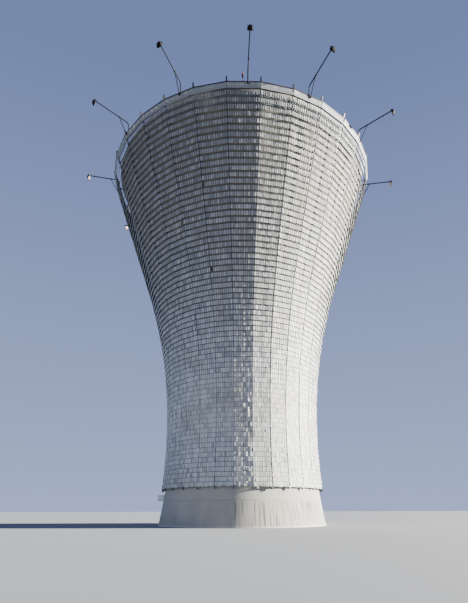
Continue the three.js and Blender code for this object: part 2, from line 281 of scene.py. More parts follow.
# Materials
def add(tree, kind, output, inputs=None, **settings):
    """Adds a node with its settings. Inputs are values or sockets of other nodes."""
    node = tree.nodes.new(kind)
    for name, value in settings.items():
        setattr(node, name, value)
    for socket, value in (inputs or {}).items():
        if isinstance(value, bpy.types.NodeSocket):
            tree.links.new(value, node.inputs[socket])
        else:
            node.inputs[socket].default_value = value
    return node.outputs[output]


def new_material(name, **values):
    """A material whose shader starts with these constant values."""
    material = bpy.data.materials.new(name)
    material.use_nodes = True
    tree = material.node_tree
    shader = tree.nodes["Principled BSDF"]
    for socket, value in values.items():
        shader.inputs[socket.replace("_", " ")].default_value = value
    return material, tree, shader


def weathered_aluminium():
    """Aluminium sheet, cold rolled and left bare outdoors.

    Its oxide is a dull pale grey that scatters light almost as paint does, each plate has
    weathered to its own tone, and rain has left dust in patches and faint upright streaks.
    The tones are also painted darker towards the rim, which is painted shade.
    """
    material, tree, shader = new_material("weathered_aluminium_sheet", Metallic=0.1)
    place = add(tree, "ShaderNodeTexCoord", "Object")
    # Each plate's tone: a random spread, and painted shade that darkens it towards the rim
    tone = add(tree, "ShaderNodeAttribute", "Fac", attribute_name="tone")
    tone_and_shade_colour = add(tree, "ShaderNodeMix", 2, {0: tone, 6: linear("#7A7E81"), 7: linear("#B7B8B6")},
                data_type="RGBA")
    # Dust lies in patches 2 to 4 m across
    clouds = add(tree, "ShaderNodeTexNoise", "Fac", {"Vector": place, "Scale": 0.35, "Detail": 4.0})
    dust = add(tree, "ShaderNodeMapRange", "Result",
               {"Value": clouds, "From Min": 0.5, "From Max": 0.75, "To Max": 0.45})
    dusty = add(tree, "ShaderNodeMix", 2, {0: dust, 6: tone_and_shade_colour, 7: linear("#847C6E")}, data_type="RGBA")
    # Streaks about 40 mm wide and nine times as long
    drawn_out = add(tree, "ShaderNodeMapping", "Vector", {"Vector": place, "Scale": (12, 12, 1.4)})
    streaks = add(tree, "ShaderNodeTexNoise", "Fac", {"Vector": drawn_out, "Scale": 1.0, "Detail": 2.0})
    stain = add(tree, "ShaderNodeMapRange", "Result",
                {"Value": streaks, "From Min": 0.35, "From Max": 0.75, "To Max": 0.2})
    stained = add(tree, "ShaderNodeMix", 2, {0: stain, 6: dusty, 7: linear("#6B7176")}, data_type="RGBA")
    dullness = add(tree, "ShaderNodeMapRange", "Result",
                   {"Value": streaks, "From Min": 0.35, "From Max": 0.75, "To Min": 0.6, "To Max": 0.75})
    tree.links.new(stained, shader.inputs["Base Color"])
    tree.links.new(dullness, shader.inputs["Roughness"])
    return material


def galvanised_steel(name, dark, light):
    """Hot-dip galvanised steel, weathered: a dull grey with a spangle between two tones, and
    brown with rust at the rim.

    The spangle is really about 15 mm across and is drawn 40 mm across, so that it shows.
    """
    material, tree, shader = new_material(name, Metallic=0.4, Roughness=0.5)
    place = add(tree, "ShaderNodeTexCoord", "Object")
    cells = add(tree, "ShaderNodeTexVoronoi", "Distance", {"Vector": place, "Scale": 25.0})
    spangle = add(tree, "ShaderNodeMapRange", "Result",
                  {"Value": cells, "From Min": 0.1, "From Max": 0.6})
    zinc = add(tree, "ShaderNodeMix", 2, {0: spangle, 6: linear(dark), 7: linear(light)},
               data_type="RGBA")
    # Rust takes the last few centimetres below the rim, in patches about 4 m across
    height = add(tree, "ShaderNodeSeparateXYZ", "Z", {"Vector": place})
    near_top = add(tree, "ShaderNodeMapRange", "Result",
                   {"Value": height, "From Min": RIM_HEIGHT - 0.14, "From Max": RIM_HEIGHT - 0.06})
    clouds = add(tree, "ShaderNodeTexNoise", "Fac", {"Vector": place, "Scale": 0.25, "Detail": 1.0})
    patches = add(tree, "ShaderNodeMapRange", "Result",
                  {"Value": clouds, "From Min": 0.25, "From Max": 0.5})
    rust = add(tree, "ShaderNodeMath", "Value", {0: near_top, 1: patches}, operation="MULTIPLY")
    rusty = add(tree, "ShaderNodeMix", 2, {0: rust, 6: zinc, 7: linear("#2E2721")}, data_type="RGBA")
    tree.links.new(rusty, shader.inputs["Base Color"])
    return material


def cast_concrete():
    """Concrete cast against smooth forms and left bare: a warm matt grey, clouded and a little
    rough, with dark rain streaks below the joint and a paler splash zone at the foot."""
    material, tree, shader = new_material("cast_concrete", Roughness=0.88)
    place = add(tree, "ShaderNodeTexCoord", "Object")
    height = add(tree, "ShaderNodeSeparateXYZ", "Z", {"Vector": place})
    rightward = add(tree, "ShaderNodeSeparateXYZ", "X", {"Vector": place})
    clouds = add(tree, "ShaderNodeTexNoise", "Fac", {"Vector": place, "Scale": 0.6, "Detail": 5.0})
    cloudy = add(tree, "ShaderNodeMix", 2, {0: clouds, 6: linear("#89877F"), 7: linear("#A4A299")},
                 data_type="RGBA")
    # Sand and blowholes, about 25 mm apart
    grain = add(tree, "ShaderNodeTexNoise", "Fac", {"Vector": place, "Scale": 40.0, "Detail": 4.0})
    specks = add(tree, "ShaderNodeMapRange", "Result",
                 {"Value": grain, "From Min": 0.4, "From Max": 0.7, "To Max": 0.25})
    grainy = add(tree, "ShaderNodeMix", 2, {0: specks, 6: cloudy, 7: linear("#7C7A73")}, data_type="RGBA")
    # Rain streaks under 0.1 m wide and some 0.4 m apart, drawn by the direction from the axis
    # so that they run straight down the round wall. They are faint on its left part
    flat = add(tree, "ShaderNodeVectorMath", "Vector", {0: place, 1: (1.0, 1.0, 0.0)},
               operation="MULTIPLY")
    direction = add(tree, "ShaderNodeVectorMath", "Vector", {0: flat}, operation="NORMALIZE")
    upward = add(tree, "ShaderNodeVectorMath", "Vector", {0: place, 1: (0.0, 0.0, 0.25)},
                 operation="MULTIPLY")
    drawn_out = add(tree, "ShaderNodeVectorMath", "Vector",
                    {0: direction, 1: (60.0, 60.0, 0.0), 2: upward}, operation="MULTIPLY_ADD")
    streaks = add(tree, "ShaderNodeTexNoise", "Fac", {"Vector": drawn_out, "Scale": 1.0, "Detail": 1.0})
    narrow = add(tree, "ShaderNodeMapRange", "Result",
                 {"Value": streaks, "From Min": 0.52, "From Max": 0.66, "To Max": 0.75})
    below_joint = add(tree, "ShaderNodeMapRange", "Result",
                      {"Value": height, "From Min": BASE_JOINT + 0.04, "From Max": BASE_JOINT - 0.26})
    rainy_side = add(tree, "ShaderNodeMapRange", "Result",
                     {"Value": rightward, "From Min": -1.6, "From Max": -0.9, "To Min": 0.15})
    long_runs = add(tree, "ShaderNodeMath", "Value", {0: narrow, 1: below_joint}, operation="MULTIPLY")
    runs = add(tree, "ShaderNodeMath", "Value", {0: long_runs, 1: rainy_side}, operation="MULTIPLY")
    streaked = add(tree, "ShaderNodeMix", 2, {0: runs, 6: grainy, 7: linear("#3F3E3A")}, data_type="RGBA")
    splash = add(tree, "ShaderNodeMapRange", "Result",
                 {"Value": height, "From Min": 0.22, "From Max": 0.12, "To Max": 0.55})
    splashed = add(tree, "ShaderNodeMix", 2, {0: splash, 6: streaked, 7: linear("#B4B2AA")},
                   data_type="RGBA")
    bump = add(tree, "ShaderNodeBump", "Normal",
               {"Strength": 0.25, "Distance": 0.01, "Height": grain})
    tree.links.new(splashed, shader.inputs["Base Color"])
    tree.links.new(bump, shader.inputs["Normal"])
    return material


def shaded_inner_concrete():
    """Bare concrete behind the screen, painted a dark brownish grey as painted shade for the
    shade that falls behind the plates: matt, in clouds about a metre across."""
    material, tree, shader = new_material("shaded_inner_concrete", Roughness=0.9)
    place = add(tree, "ShaderNodeTexCoord", "Object")
    # Dark brownish clouds: painted shade behind the screen
    clouds = add(tree, "ShaderNodeTexNoise", "Fac", {"Vector": place, "Scale": 0.9, "Detail": 4.0})
    cloudy = add(tree, "ShaderNodeMix", 2, {0: clouds, 6: linear("#6E695C"), 7: linear("#857F70")},
                 data_type="RGBA")
    tree.links.new(cloudy, shader.inputs["Base Color"])
    return material


def limewash():
    """Old limewash on concrete: chalky, nearly white and dead matt, with faint grey clouds."""
    material, tree, shader = new_material("limewashed_concrete", Roughness=0.95)
    place = add(tree, "ShaderNodeTexCoord", "Object")
    clouds = add(tree, "ShaderNodeTexNoise", "Fac", {"Vector": place, "Scale": 2.5, "Detail": 4.0})
    cloudy = add(tree, "ShaderNodeMix", 2, {0: clouds, 6: linear("#D9DAD8"), 7: linear("#F0F0EC")},
                 data_type="RGBA")
    tree.links.new(cloudy, shader.inputs["Base Color"])
    return material


def dark_grey_paint():
    """Black-grey enamel sprayed on steel, chalked to a dull satin: soft dusty patches 0.2 m across."""
    material, tree, shader = new_material("dark_grey_paint", Roughness=0.75, Specular_IOR_Level=0.15)
    place = add(tree, "ShaderNodeTexCoord", "Object")
    clouds = add(tree, "ShaderNodeTexNoise", "Fac", {"Vector": place, "Scale": 6.0, "Detail": 3.0})
    dust = add(tree, "ShaderNodeMapRange", "Result", {"Value": clouds, "From Min": 0.4, "From Max": 0.75})
    dusty = add(tree, "ShaderNodeMix", 2, {0: dust, 6: linear("#090A0B"), 7: linear("#131312")},
                data_type="RGBA")
    tree.links.new(dusty, shader.inputs["Base Color"])
    return material


def floodlight_glass():
    """Toughened glass over a pale reflector, dusty: a warm beige face with a glossy coat."""
    material, tree, shader = new_material("floodlight_glass", Roughness=0.3, Coat_Weight=0.6)
    place = add(tree, "ShaderNodeTexCoord", "Object")
    clouds = add(tree, "ShaderNodeTexNoise", "Fac", {"Vector": place, "Scale": 9.0, "Detail": 2.0})
    dust = add(tree, "ShaderNodeMapRange", "Result", {"Value": clouds, "From Min": 0.3, "From Max": 0.7})
    dusty = add(tree, "ShaderNodeMix", 2, {0: dust, 6: linear("#9A866C"), 7: linear("#B5A78F")},
                data_type="RGBA")
    tree.links.new(dusty, shader.inputs["Base Color"])
    return material


def red_polycarbonate():
    """Moulded red polycarbonate: deep and glossy, faded by the sun towards the top."""
    material, tree, shader = new_material("red_polycarbonate", Roughness=0.2, IOR=1.58)
    place = add(tree, "ShaderNodeTexCoord", "Object")
    height = add(tree, "ShaderNodeSeparateXYZ", "Z", {"Vector": place})
    fading = add(tree, "ShaderNodeMapRange", "Result",
                 {"Value": height, "From Min": 35.58, "From Max": 35.72})
    faded = add(tree, "ShaderNodeMix", 2, {0: fading, 6: linear("#6A1811"), 7: linear("#8F3527")},
                data_type="RGBA")
    tree.links.new(faded, shader.inputs["Base Color"])
    return material


aluminium = weathered_aluminium()
steel = galvanised_steel("galvanised_steel", "#54585C", "#6E7276")
# The ribs' zinc is darker. Its dark tone is partly its own and partly painted shade, for the open corner
# joints that read dark
rib_steel_with_joint_shade = galvanised_steel("dark_galvanised_steel_with_joint_shade", "#3C4043", "#54585C")
concrete = cast_concrete()
painted_shade_concrete = shaded_inner_concrete()
white = limewash()
paint = dark_grey_paint()
glass = floodlight_glass()
lens = red_polycarbonate()
studio_floor = new_material("studio_floor", Base_Color=linear("#707479"), Roughness=0.95)[0]


# Shapes: each is an array of points and an array of four corner numbers a face
def outward(points, quads):
    """The same closed shape with its faces pointing outwards: if the sum of the signed
    volumes under its faces is negative, each face is read the other way round."""
    a, b, c, d = (points[quads[:, corner]] for corner in range(4))
    volume = np.sum(a * (np.cross(b, c) + np.cross(c, d)))
    return points, quads if volume > 0 else quads[:, ::-1]


def turn_shape(shape, azimuth):
    """A shape made with +X outwards, turned to an azimuth in degrees."""
    points, quads = shape
    return turn(points, azimuth), quads


def gather(shapes):
    """Several shapes as one."""
    starts = np.cumsum([0] + [len(points) for points, _ in shapes[:-1]])
    points = np.concatenate([points for points, _ in shapes])
    return points, np.concatenate([quads + start for (_, quads), start in zip(shapes, starts)])


def grid_quads(rings, ring_points, closed=False):
    """Corner numbers of a grid of rings, each ring closed on itself."""
    i = np.arange(rings if closed else rings - 1)[:, None]
    j = np.arange(ring_points)[None]
    after, beside = (i + 1) % rings * ring_points, (j + 1) % ring_points
    a, b, c, d = i * ring_points + j, i * ring_points + beside, after + beside, after + j
    return np.stack([a, b, c, d], axis=-1).reshape(-1, 4)


def cap_quads(start, ring_points):
    """Faces that close a ring: strips across it from one half to the other."""
    i = np.arange(ring_points // 2 - 1)
    return start + np.stack([i, i + 1, ring_points - 2 - i, ring_points - 1 - i], axis=-1)


def rounded_outline(width, height, power, count):
    """A closed superellipse: width/2 times |cos|^(2/power) across and height/2 times
    |sin|^(2/power) up, each with its sign. Power 2 is an ellipse and 8 nearly a rectangle."""
    angle = (np.arange(count) + 0.5) * 2 * math.pi / count
    c, s = np.cos(angle), np.sin(angle)
    x = width / 2 * np.sign(c) * np.abs(c) ** (2 / power)
    y = height / 2 * np.sign(s) * np.abs(s) ** (2 / power)
    return np.stack([x, y], axis=-1)


def rounded_path(corners, rounding, steps=8):
    """A path through corners, each inner one replaced by a parabola that starts and ends
    the rounding's length away from it: (1-t)^2 start + 2t(1-t) corner + t^2 end."""
    corners = np.asarray(corners, float)
    before, corner, after = corners[:-2], corners[1:-1], corners[2:]
    start = corner + rounding * (before - corner) / np.linalg.norm(before - corner, axis=1)[:, None]
    end = corner + rounding * (after - corner) / np.linalg.norm(after - corner, axis=1)[:, None]
    t = np.linspace(0, 1, steps)[None, :, None]
    bends = (1 - t) ** 2 * start[:, None] + 2 * t * (1 - t) * corner[:, None] + t ** 2 * end[:, None]
    return np.concatenate([corners[:1], bends.reshape(-1, 3), corners[-1:]])


def carry(outline, path, side, scale=(1.0, 1.0)):
    """A closed outline carried along a path. At each point of the path the outline's first
    axis lies along the side direction and its second across side and path, each times the
    scale given for that point."""
    path = np.asarray(path, float)
    side = np.asarray(side, float)
    along = np.gradient(path, axis=0)
    along /= np.linalg.norm(along, axis=1, keepdims=True)
    across = np.cross(side, along)
    scale = np.broadcast_to(scale, (len(path), 2))[:, None, :]
    offsets = outline[None] * scale
    points = path[:, None] + offsets[..., :1] * side + offsets[..., 1:] * across[:, None]
    last = (len(path) - 1) * len(outline)
    caps = [cap_quads(0, len(outline))[:, ::-1], cap_quads(last, len(outline))]
    quads = np.concatenate([grid_quads(len(path), len(outline)), *caps])
    return outward(points.reshape(-1, 3), quads)


def tube(path, radius, side=(0, 1, 0), count=20):
    """A round bar along a path."""
    return carry(rounded_outline(2 * radius, 2 * radius, 2, count), path, side)


def block(low, high, rounding=0.004):
    """A block along X between two corners, its long edges rounded and its ends eased: the
    outline shrinks by the rounding over the first and last bit of the length."""
    low, high = np.asarray(low, float), np.asarray(high, float)
    size = high - low
    middle = (low + high) / 2
    x = np.array([low[0], low[0] + rounding, high[0] - rounding, high[0]])
    path = np.stack([x, np.full(4, middle[1]), np.full(4, middle[2])], axis=-1)
    ease = 1 - 2 * rounding / size[1:]
    scale = np.array([ease, [1, 1], [1, 1], ease])
    return carry(rounded_outline(size[1], size[2], 10, 16), path, (0, 1, 0), scale)


# A flat bar's corners, as signs along X, Y and Z, and its six faces
BOX_SIGNS = np.array([[x, y, z] for x in (-1, 1) for y in (-1, 1) for z in (-1, 1)], float)
BOX_QUADS = np.array([
    [1, 3, 2, 0], [6, 7, 5, 4], [4, 5, 1, 0], [3, 7, 6, 2], [2, 6, 4, 0], [5, 7, 3, 1],
])


def box_corners(centres, sizes):
    """Corners of many flat bars, shape (n, 8, 3): centre plus or minus half of each size."""
    return centres[:, None, :] + BOX_SIGNS[None] * sizes[:, None, :] / 2


def bars(corners):
    """Flat bars, given as arrays of eight corners each, as one shape."""
    corners = np.concatenate(corners)
    quads = BOX_QUADS[None] + len(BOX_SIGNS) * np.arange(len(corners))[:, None, None]
    return corners.reshape(-1, 3), quads.reshape(-1, 4)


def mesh_of(name, shape):
    """A mesh of a shape, filled from whole arrays."""
    points, quads = shape
    mesh = bpy.data.meshes.new(name)
    mesh.vertices.add(len(points))
    mesh.vertices.foreach_set("co", np.ascontiguousarray(points, np.float32).ravel())
    mesh.loops.add(quads.size)
    mesh.loops.foreach_set("vertex_index", np.ascontiguousarray(quads, np.int32).ravel())
    mesh.polygons.add(len(quads))
    mesh.polygons.foreach_set("loop_start", np.arange(0, quads.size, 4, dtype=np.int32))
    mesh.update(calc_edges=True)
    return mesh


def link(thing):
    """Puts an object into the scene."""
    bpy.context.scene.collection.objects.link(thing)
    return thing


def dress(name, shape, material, nodes=(), smooth_deg=None):
    """Makes a piece of a shape with its finish, and hides the solids it replaces."""
    mesh = mesh_of(name, shape)
    mesh.materials.append(material)
    if smooth_deg:
        mesh.shade_smooth()
        mesh.set_sharp_from_angle(angle=math.radians(smooth_deg))
    else:
        mesh.shade_flat()
    piece = link(bpy.data.objects.new(name, mesh))
    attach(piece, "root")
    if nodes:
        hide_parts(*nodes)
    return piece


# The screen
def row_levels():
    """Heights of the rails, from the rim down."""
    return RIM_HEIGHT - ROW_HEIGHT * np.arange(ROWS)


def row_radii(levels):
    """Where each row hangs: a little inside the outline, but never further in than the
    outline at the row's foot. The top row isn't set back, as it is fixed along the slope."""
    radii = curve_radius(levels)
    setback = np.clip(radii - curve_radius(levels - ROW_HEIGHT), 0, PLATE_SETBACK)
    setback[0] = 0
    return radii - setback


def panel_azimuths(panel):
    """Azimuths of the three facets of a panel."""
    return FACET_DEG * (3 * panel + np.array([-1, 0, 1]))


def row_sizes():
    """Each row's radius, and its plates' top edge, height and the gap beside them.

    The plates hang below their rails, by a drop that widens towards the rim as the gap does.
    The top row is fixed close to its rail."""
    tops = row_levels()
    tops[0] -= TOP_RAIL_HEIGHT
    drops = PLATE_DROP + RIM_EXTRA_DROP * flare_share(tops)
    heights = PLATE_HEIGHT + PLATE_DROP - drops
    gaps = WAIST_PLATE_GAP + (RIM_PLATE_GAP - WAIST_PLATE_GAP) * flare_share(tops)
    drops[0], gaps[0] = TOP_ROW_DROP, TOP_ROW_PLATE_GAP
    heights[0] = ROW_HEIGHT - TOP_RAIL_HEIGHT - TOP_ROW_DROP
    return row_radii(tops), tops - drops, heights, gaps


def plates_side_by_side(azimuth, radii):
    """One facet's plates: the row of each, its middle along the row, and its pitch.

    In each row the facet's width between its corner joints is shared by equal plates of
    about the pitch, in two halves with a joint between. A few corner joints stand open."""
    half_width = radii * math.tan(HALF_FACET)
    half_counts = np.round((half_width - CORNER_GAP - MIDDLE_GAP / 2) / PLATE_PITCH)
    counts = np.maximum(2, 2 * half_counts).astype(int)
    row = np.repeat(np.arange(ROWS), counts)
    index = np.concatenate([np.arange(count) for count in counts])
    in_half = counts[row] / 2
    side = np.where(index < in_half, -1.0, 1.0)
    within = np.where(index < in_half, in_half - 1 - index, index - in_half)
    gap_left, gap_right = (OPEN_JOINTS.get(azimuth + turn_deg, CORNER_GAP)
                           for turn_deg in (-FACET_DEG / 2, FACET_DEG / 2))
    corner_gap = np.where(side < 0, gap_left, gap_right)
    pitch = (half_width[row] - corner_gap - MIDDLE_GAP / 2) / in_half
    return row, side * (MIDDLE_GAP / 2 + pitch * (within + 0.5)), pitch


def plate_layout(azimuth, rng):
    """Centres, sizes and rows of the plates of one facet that haven't come off."""
    radii, tops, heights, gaps = row_sizes()
    row, across, pitch = plates_side_by_side(azimuth, radii)
    keep = rng.random(len(row)) > MISSING_SHARE
    for gone_azimuth, gone_row in MISSING:
        offset = gone_azimuth - azimuth
        if abs(offset) <= FACET_DEG / 2:
            place = radii[gone_row] * math.tan(math.radians(offset))
            keep &= ~((row == gone_row) & (np.abs(across - place) < pitch / 2))
    row, across, width = row[keep], across[keep], (pitch - gaps[row])[keep]
    middle = tops[row] - heights[row] / 2
    centres = np.stack([radii[row] - PLATE_THICKNESS / 2, across, middle], axis=-1)
    sizes = np.stack([np.full(len(row), PLATE_THICKNESS), width, heights[row]], axis=-1)
    return centres, sizes, row


def hang(corners, centres, sizes, swing, twist, roll):
    """Shears each plate sideways by its roll, so that it hangs crooked, twists it about its
    upright middle line, and swings it inwards about its top edge: x loses the depth below
    the top edge times the tangent of the swing."""
    local = corners - centres[:, None, :]
    below_top = sizes[:, 2:3] / 2 - local[..., 2]
    sideways = local[..., 1] + below_top * np.tan(roll)[:, None]
    c, s = np.cos(twist)[:, None], np.sin(twist)[:, None]
    x = local[..., 0] * c - sideways * s - below_top * np.tan(swing)[:, None]
    y = local[..., 0] * s + sideways * c
    return np.stack([x, y, local[..., 2]], axis=-1) + centres[:, None, :]


def plate_angles(azimuth, centres, row, rng):
    """How each plate swings, twists and rolls, in radians: random shares times their spreads.

    The top row is fixed along the slope. Towards the rim the plates are more crooked."""
    count = len(centres)
    loose = (azimuth == 0) & (row >= LOOSE_FROM_ROW) & (centres[:, 1] > 0)
    free = row > 0
    column = np.round(centres[:, 1] / PLATE_PITCH - 0.5 * np.sign(centres[:, 1])).astype(int)
    shared = rng.normal(0, COLUMN_SHARE, COLUMNS)[column + COLUMNS // 2] * ~loose
    twist = (rng.normal(0, 1, count) + shared).clip(-TWIST_LIMIT, TWIST_LIMIT)
    swing = rng.normal(0, 1, count).clip(-SWING_LIMIT, SWING_LIMIT)
    swing_deg = swing * np.where(loose, LOOSE_SWING_DEG, SWING_DEG)
    swing_deg = np.where(free, swing_deg, math.degrees(math.atan(FLARE_SLOPE)))
    rim_turn = 1 + RIM_EXTRA_TURN * flare_share(centres[:, 2])
    twist_deg = twist * np.where(loose, LOOSE_TWIST_DEG, TWIST_DEG) * free * rim_turn
    roll_deg = rng.normal(0, ROLL_DEG, count).clip(-ROLL_LIMIT_DEG, ROLL_LIMIT_DEG) * free * rim_turn
    return np.radians(swing_deg), np.radians(twist_deg), np.radians(roll_deg)


def plate_clips(centres, sizes):
    """Corners of the clips, one behind the top edge of each plate."""
    clip_centres = centres + [-CLIP_DEPTH / 2 - PLATE_THICKNESS, 0, 0]
    clip_centres[:, 2] += sizes[:, 2] / 2
    clip_sizes = np.tile([CLIP_DEPTH, CLIP_WIDTH, CLIP_HEIGHT], (len(centres), 1))
    return box_corners(clip_centres, clip_sizes)


def hanging_plates(panel):
    """The plates of three facets, each with its own tone, and the clips that hold them.
    Towards the rim the plates' tones are painted darker, which is painted shade."""
    rng = np.random.default_rng(PLATE_SEED + panel)
    plates, tones, clips = [], [], []
    for azimuth in panel_azimuths(panel):
        centres, sizes, row = plate_layout(azimuth, rng)
        angles = plate_angles(azimuth, centres, row, rng)
        plates.append(turn(hang(box_corners(centres, sizes), centres, sizes, *angles), azimuth))
        # The mean tone falls from the waist to the rim: painted shade
        shaded_mean_tone = WAIST_TONE + (RIM_SHADED_TONE - WAIST_TONE) * flare_share(centres[:, 2])
        tone = (shaded_mean_tone + rng.normal(0, TONE_SPREAD, len(centres))).clip(0, 1)
        tones.append(np.repeat(tone, len(BOX_SIGNS)))
        clips.append(turn(plate_clips(centres, sizes), azimuth))
    number = f"{panel + 1:02d}"
    piece = dress(f"hanging_plates_{number}", bars(plates), aluminium,
                  [f"screen_panel_{number}"])
    attribute = piece.data.attributes.new("tone", "FLOAT", "POINT")
    attribute.data.foreach_set("value", np.concatenate(tones).astype(np.float32))
    dress(f"plate_clips_{number}", bars(clips), steel)


def facet_bars(panel, outer, levels, depth, height, slope=0.0):
    """Flat bars across each facet of a panel, from corner to corner, with their outer faces
    at the given radii and their middles at the given levels. They lean out by the slope."""
    outward_middle = outer - depth / 2
    width = 2 * (outward_middle * math.tan(HALF_FACET) - BAR_END_GAP)
    centres = np.stack([outward_middle, np.zeros(len(levels)), levels], axis=-1)
    sizes = np.stack([np.full(len(levels), depth), width, np.full(len(levels), height)], axis=-1)
    corners = box_corners(centres, sizes)
    corners[..., 0] += slope * (corners[..., 2] - centres[:, 2:])
    return bars([turn(corners, azimuth) for azimuth in panel_azimuths(panel)])


def row_rails(panel):
    """One thin rail behind the top edge of each row of plates but the top one. The first ones
    are taller and reach up behind the foot of the row above."""
    levels = row_levels()
    outer = row_radii(levels) - PLATE_THICKNESS - CLIP_DEPTH
    heights = np.full(ROWS, RAIL_HEIGHT)
    heights[1:1 + TALL_RAILS] = TALL_RAIL_HEIGHT
    middles = levels + (heights - RAIL_HEIGHT) / 2
    shape = facet_bars(panel, outer[1:], middles[1:], RAIL_DEPTH, heights[1:])
    dress(f"row_rails_{panel + 1:02d}", shape, steel)


def top_row_strip(panel):
    """The pale strip that clamps the feet of the top row's plates."""
    middle = np.array([RIM_HEIGHT - ROW_HEIGHT + STRIP_HEIGHT / 2])
    outer = curve_radius(middle) + 2 * STRIP_THICKNESS
    shape = facet_bars(panel, outer, middle, STRIP_THICKNESS, STRIP_HEIGHT, FLARE_SLOPE)
    dress(f"top_row_strip_{panel + 1:02d}", shape, aluminium)


def i_section():
    """A rolled I section's outline, 0 at its outer face: one half from outside to inside, and
    its mirror image back. The flanges get thinner towards their edges."""
    half = np.array([
        [RIB_WIDTH / 2, 0],
        [RIB_WIDTH / 2, -RIB_FLANGE_EDGE],
        [RIB_WEB / 2, -RIB_FLANGE_ROOT],
        [RIB_WEB / 2, RIB_FLANGE_ROOT - RIB_DEPTH],
        [RIB_WIDTH / 2, RIB_FLANGE_EDGE - RIB_DEPTH],
        [RIB_WIDTH / 2, -RIB_DEPTH],
    ])
    return np.concatenate([half, half[::-1] * [-1, 1]])


def rib_radius(z):
    """Outer face of a rib, in the screen's corner."""
    return curve_radius(z) / math.cos(HALF_FACET) - RIB_SETBACK


def rib_and_brackets():
    """One rib carried up its corner, and the brackets that hold it to the concrete."""
    levels = np.linspace(SCREEN_FOOT - RIB_FOOT, RIM_HEIGHT + RIB_HEAD, RIB_STEPS)
    path = np.stack([rib_radius(levels), 0 * levels, levels], axis=-1)
    shapes = [carry(i_section(), path, (0, 1, 0))]
    half_width, half_height = BRACKET_WIDTH / 2, BRACKET_HEIGHT / 2
    for z in [FOOT_BRACKET_LEVEL, *(RIM_HEIGHT - ROW_HEIGHT * BRACKET_ROWS)]:
        rib_inside = float(rib_radius(z)) - RIB_DEPTH + RIB_FLANGE
        low = (float(body_radius(z)), -half_width, z - half_height)
        shapes.append(block(low, (rib_inside, half_width, z + half_height)))
    return gather(shapes)


def ribs_and_rails(panel):
    """The ribs of a panel's first three corners, the rim's rail and the foot's rail."""
    rib = rib_and_brackets()
    rail_middle = top_rail_middle()
    rail_half = rail_middle * math.tan(HALF_FACET) - BAR_END_GAP
    rail_level = RIM_HEIGHT - TOP_RAIL_HEIGHT / 2
    rail_ends = [[rail_middle, side * rail_half, rail_level] for side in (-1, 1)]
    rail = carry(rounded_outline(TOP_RAIL_DEPTH, TOP_RAIL_HEIGHT, 10, 16), rail_ends, (1, 0, 0))
    shapes = []
    for azimuth in panel_azimuths(panel):
        shapes.append(turn_shape(rib, azimuth - FACET_DEG / 2))
        shapes.append(turn_shape(rail, azimuth))
    foot_level = np.array([SCREEN_FOOT + FOOT_RAIL_HEIGHT / 2])
    foot_outer = curve_radius(foot_level) - FOOT_RAIL_SETBACK
    shapes.append(facet_bars(panel, foot_outer, foot_level, FOOT_RAIL_DEPTH, FOOT_RAIL_HEIGHT))
    number = f"{panel + 1:02d}"
    # The ribs take the darker steel, which is partly painted shade in the corner joints
    dress(f"ribs_and_rails_{number}", gather(shapes), rib_steel_with_joint_shade,
          [f"rib_frame_{number}"], smooth_deg=35)


def ring(radii, levels):
    """A closed profile of radii and levels carried once round the tower's axis."""
    steps = 240
    angle = np.arange(steps)[:, None] * 2 * math.pi / steps
    points = np.stack([radii * np.cos(angle), radii * np.sin(angle), levels + 0 * angle], axis=-1)
    return outward(points.reshape(-1, 3), grid_quads(steps, len(radii), closed=True))


def round_base():
    """The round wall under the screen: a surface of revolution with a groove at its joint and
    a small bevel at its foot."""
    below = [0, 0.02, 0.6, 1.2, 1.8]
    groove = BASE_JOINT + GROOVE_HALF * np.array([-1, -0.5, 0.5, 1])
    levels = np.concatenate([below, groove, [3.0, 3.6, 4.2, BASE_TOP]])
    outer = body_radius(levels)
    inner = outer - BASE_THICKNESS
    outer[0] -= BASE_FOOT_BEVEL
    groove_bottom = len(below) + 1
    outer[groove_bottom:groove_bottom + 2] -= GROOVE_DEPTH
    shape = ring(np.concatenate([outer, inner[::-1]]), np.concatenate([levels, levels[::-1]]))
    nodes = [f"base_wall_{index + 1:02d}" for index in range(BASE_SECTORS)]
    dress("round_base_wall", shape, concrete, nodes, smooth_deg=25)


def roof_upstand():
    """The upstand along the roof's edge, which closes the sight over the roof from below."""
    profile = rounded_outline(UPSTAND_WIDTH, UPSTAND_HEIGHT, 8, 16)
    middle_radius = float(body_radius(RIM_HEIGHT)) - UPSTAND_WIDTH / 2
    shape = ring(middle_radius + profile[:, 0], RIM_HEIGHT - UPSTAND_HEIGHT / 2 + profile[:, 1])
    # Its concrete is painted dark, as painted shade
    dress("roof_edge_upstand", shape, painted_shade_concrete, smooth_deg=35)


# Floodlights
def bolt(foot, towards=(0, 0, 1)):
    """A six-sided bolt head that stands on a point."""
    foot, towards = np.asarray(foot, float), np.asarray(towards, float)
    side = (0, 1, 0) if abs(towards[1]) < 0.5 else (0, 0, 1)
    return carry(rounded_outline(2 * BOLT_RADIUS, 2 * BOLT_RADIUS, 2, 6),
                 [foot, foot + BOLT_HEIGHT * towards], side)


def lamp_place(points):
    """From the lamp's own axes, +X out of its back and +Z up, to its place on the arm."""
    c, s = math.cos(LAMP_TILT), math.sin(LAMP_TILT)
    x, y, z = points[..., 0], points[..., 1], points[..., 2]
    return np.stack([LAMP_CENTRE[0] + x * c - z * s, y, LAMP_CENTRE[1] + x * s + z * c], axis=-1)


